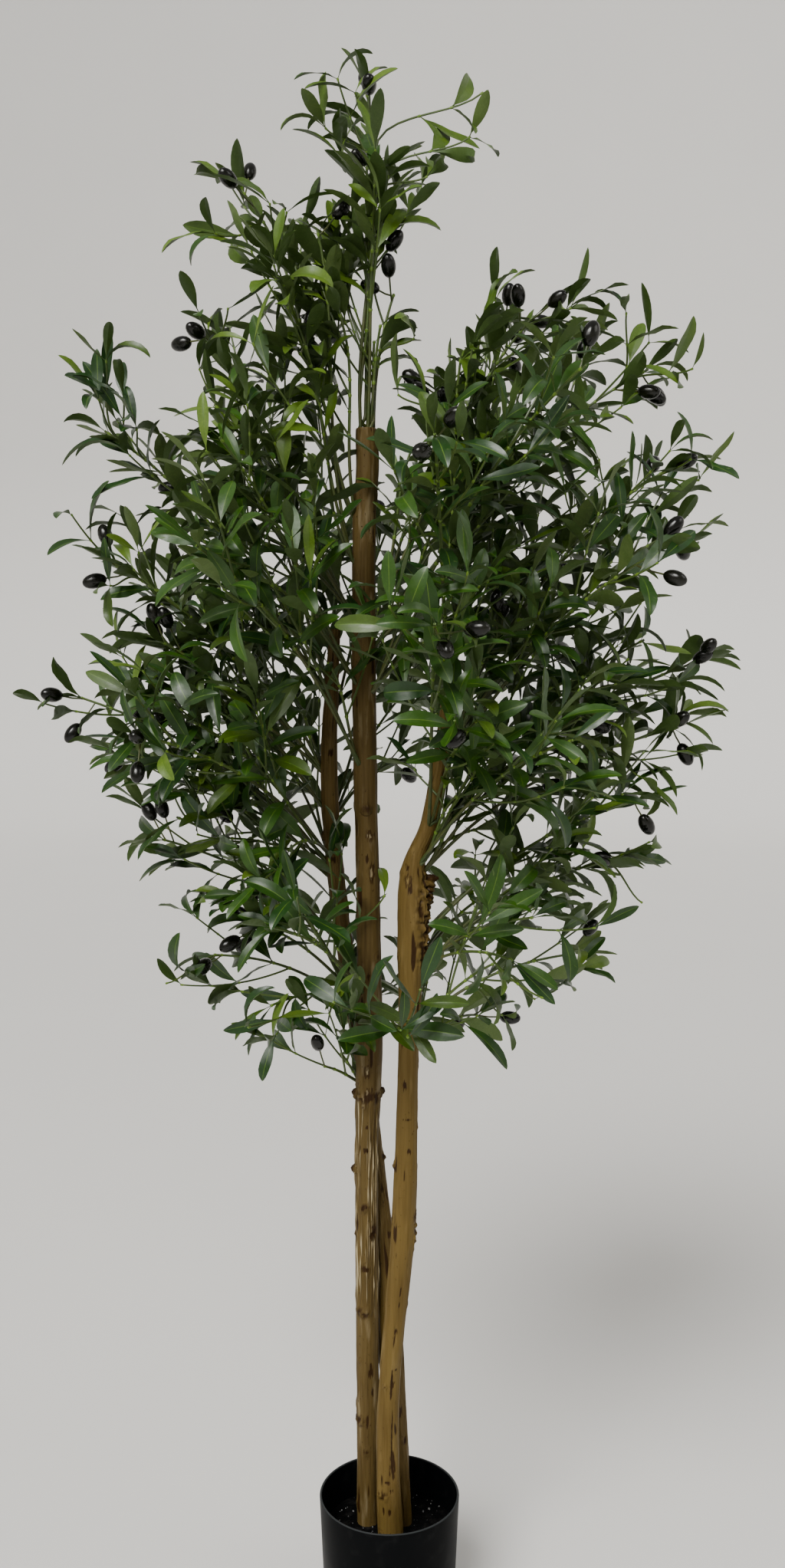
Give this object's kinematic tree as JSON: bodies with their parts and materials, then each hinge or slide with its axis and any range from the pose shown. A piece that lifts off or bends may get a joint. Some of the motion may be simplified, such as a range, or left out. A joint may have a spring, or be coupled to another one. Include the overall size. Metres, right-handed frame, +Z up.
{
  "type": "artificial olive tree, potted",
  "caption": "Artificial olive tree: slim timber poles in a filled black pot, with moulded sprays of narrow green leaves and dark olives.",
  "frame": {"origin": "centre of the pot's flat underside, on the surface it stands on", "axes": "+Z up along the tree, -Y towards the viewer in front, +X to the viewer's right"},
  "size_m": [0.8927, 0.7422, 1.9752],
  "materials": {
    "pot": "satin",
    "filler": "matte",
    "dark_wood": "matte",
    "light_wood": "matte",
    "foliage": "satin",
    "stems": "satin",
    "olives": "gloss"
  },
  "bodies": {
    "root": {"pot": "pot", "pot_filler": "filler", "spray_back_1": "foliage", "spray_back_2": "foliage", "spray_back_3": "foliage", "spray_back_left_1": "foliage", "spray_back_left_2": "foliage", "spray_back_left_3": "foliage", "spray_back_left_4": "foliage", "spray_back_right_1": "foliage", "spray_back_right_2": "foliage", "spray_back_right_3": "foliage", "spray_back_right_4": "foliage", "spray_crown_far_right": "foliage", "spray_crown_right": "foliage", "spray_front_1": "foliage", "spray_front_2": "foliage", "spray_front_3": "foliage", "spray_front_left_1": "foliage", "spray_front_left_2": "foliage", "spray_front_left_3": "foliage", "spray_front_left_4": "foliage", "spray_front_right_1": "foliage", "spray_front_right_2": "foliage", "spray_front_right_3": "foliage", "spray_front_right_4": "foliage", "spray_left_01": "foliage", "spray_left_02": "foliage", "spray_left_03": "foliage", "spray_left_04": "foliage", "spray_left_05": "foliage", "spray_left_06": "foliage", "spray_left_07": "foliage", "spray_left_08": "foliage", "spray_left_09": "foliage", "spray_left_10": "foliage", "spray_right_01": "foliage", "spray_right_02": "foliage", "spray_right_03": "foliage", "spray_right_04": "foliage", "spray_right_05": "foliage", "spray_right_06": "foliage", "spray_right_07": "foliage", "spray_right_08": "foliage", "spray_right_09": "foliage", "spray_right_10": "foliage", "spray_top": "foliage", "spray_top_back": "foliage", "spray_top_front": "foliage", "spray_top_left": "foliage", "spray_top_mid_left": "foliage", "spray_top_right": "foliage", "trunk_left": "dark_wood", "trunk_right": "light_wood", "trunk_tall": "dark_wood"}
  },
  "joints": []
}
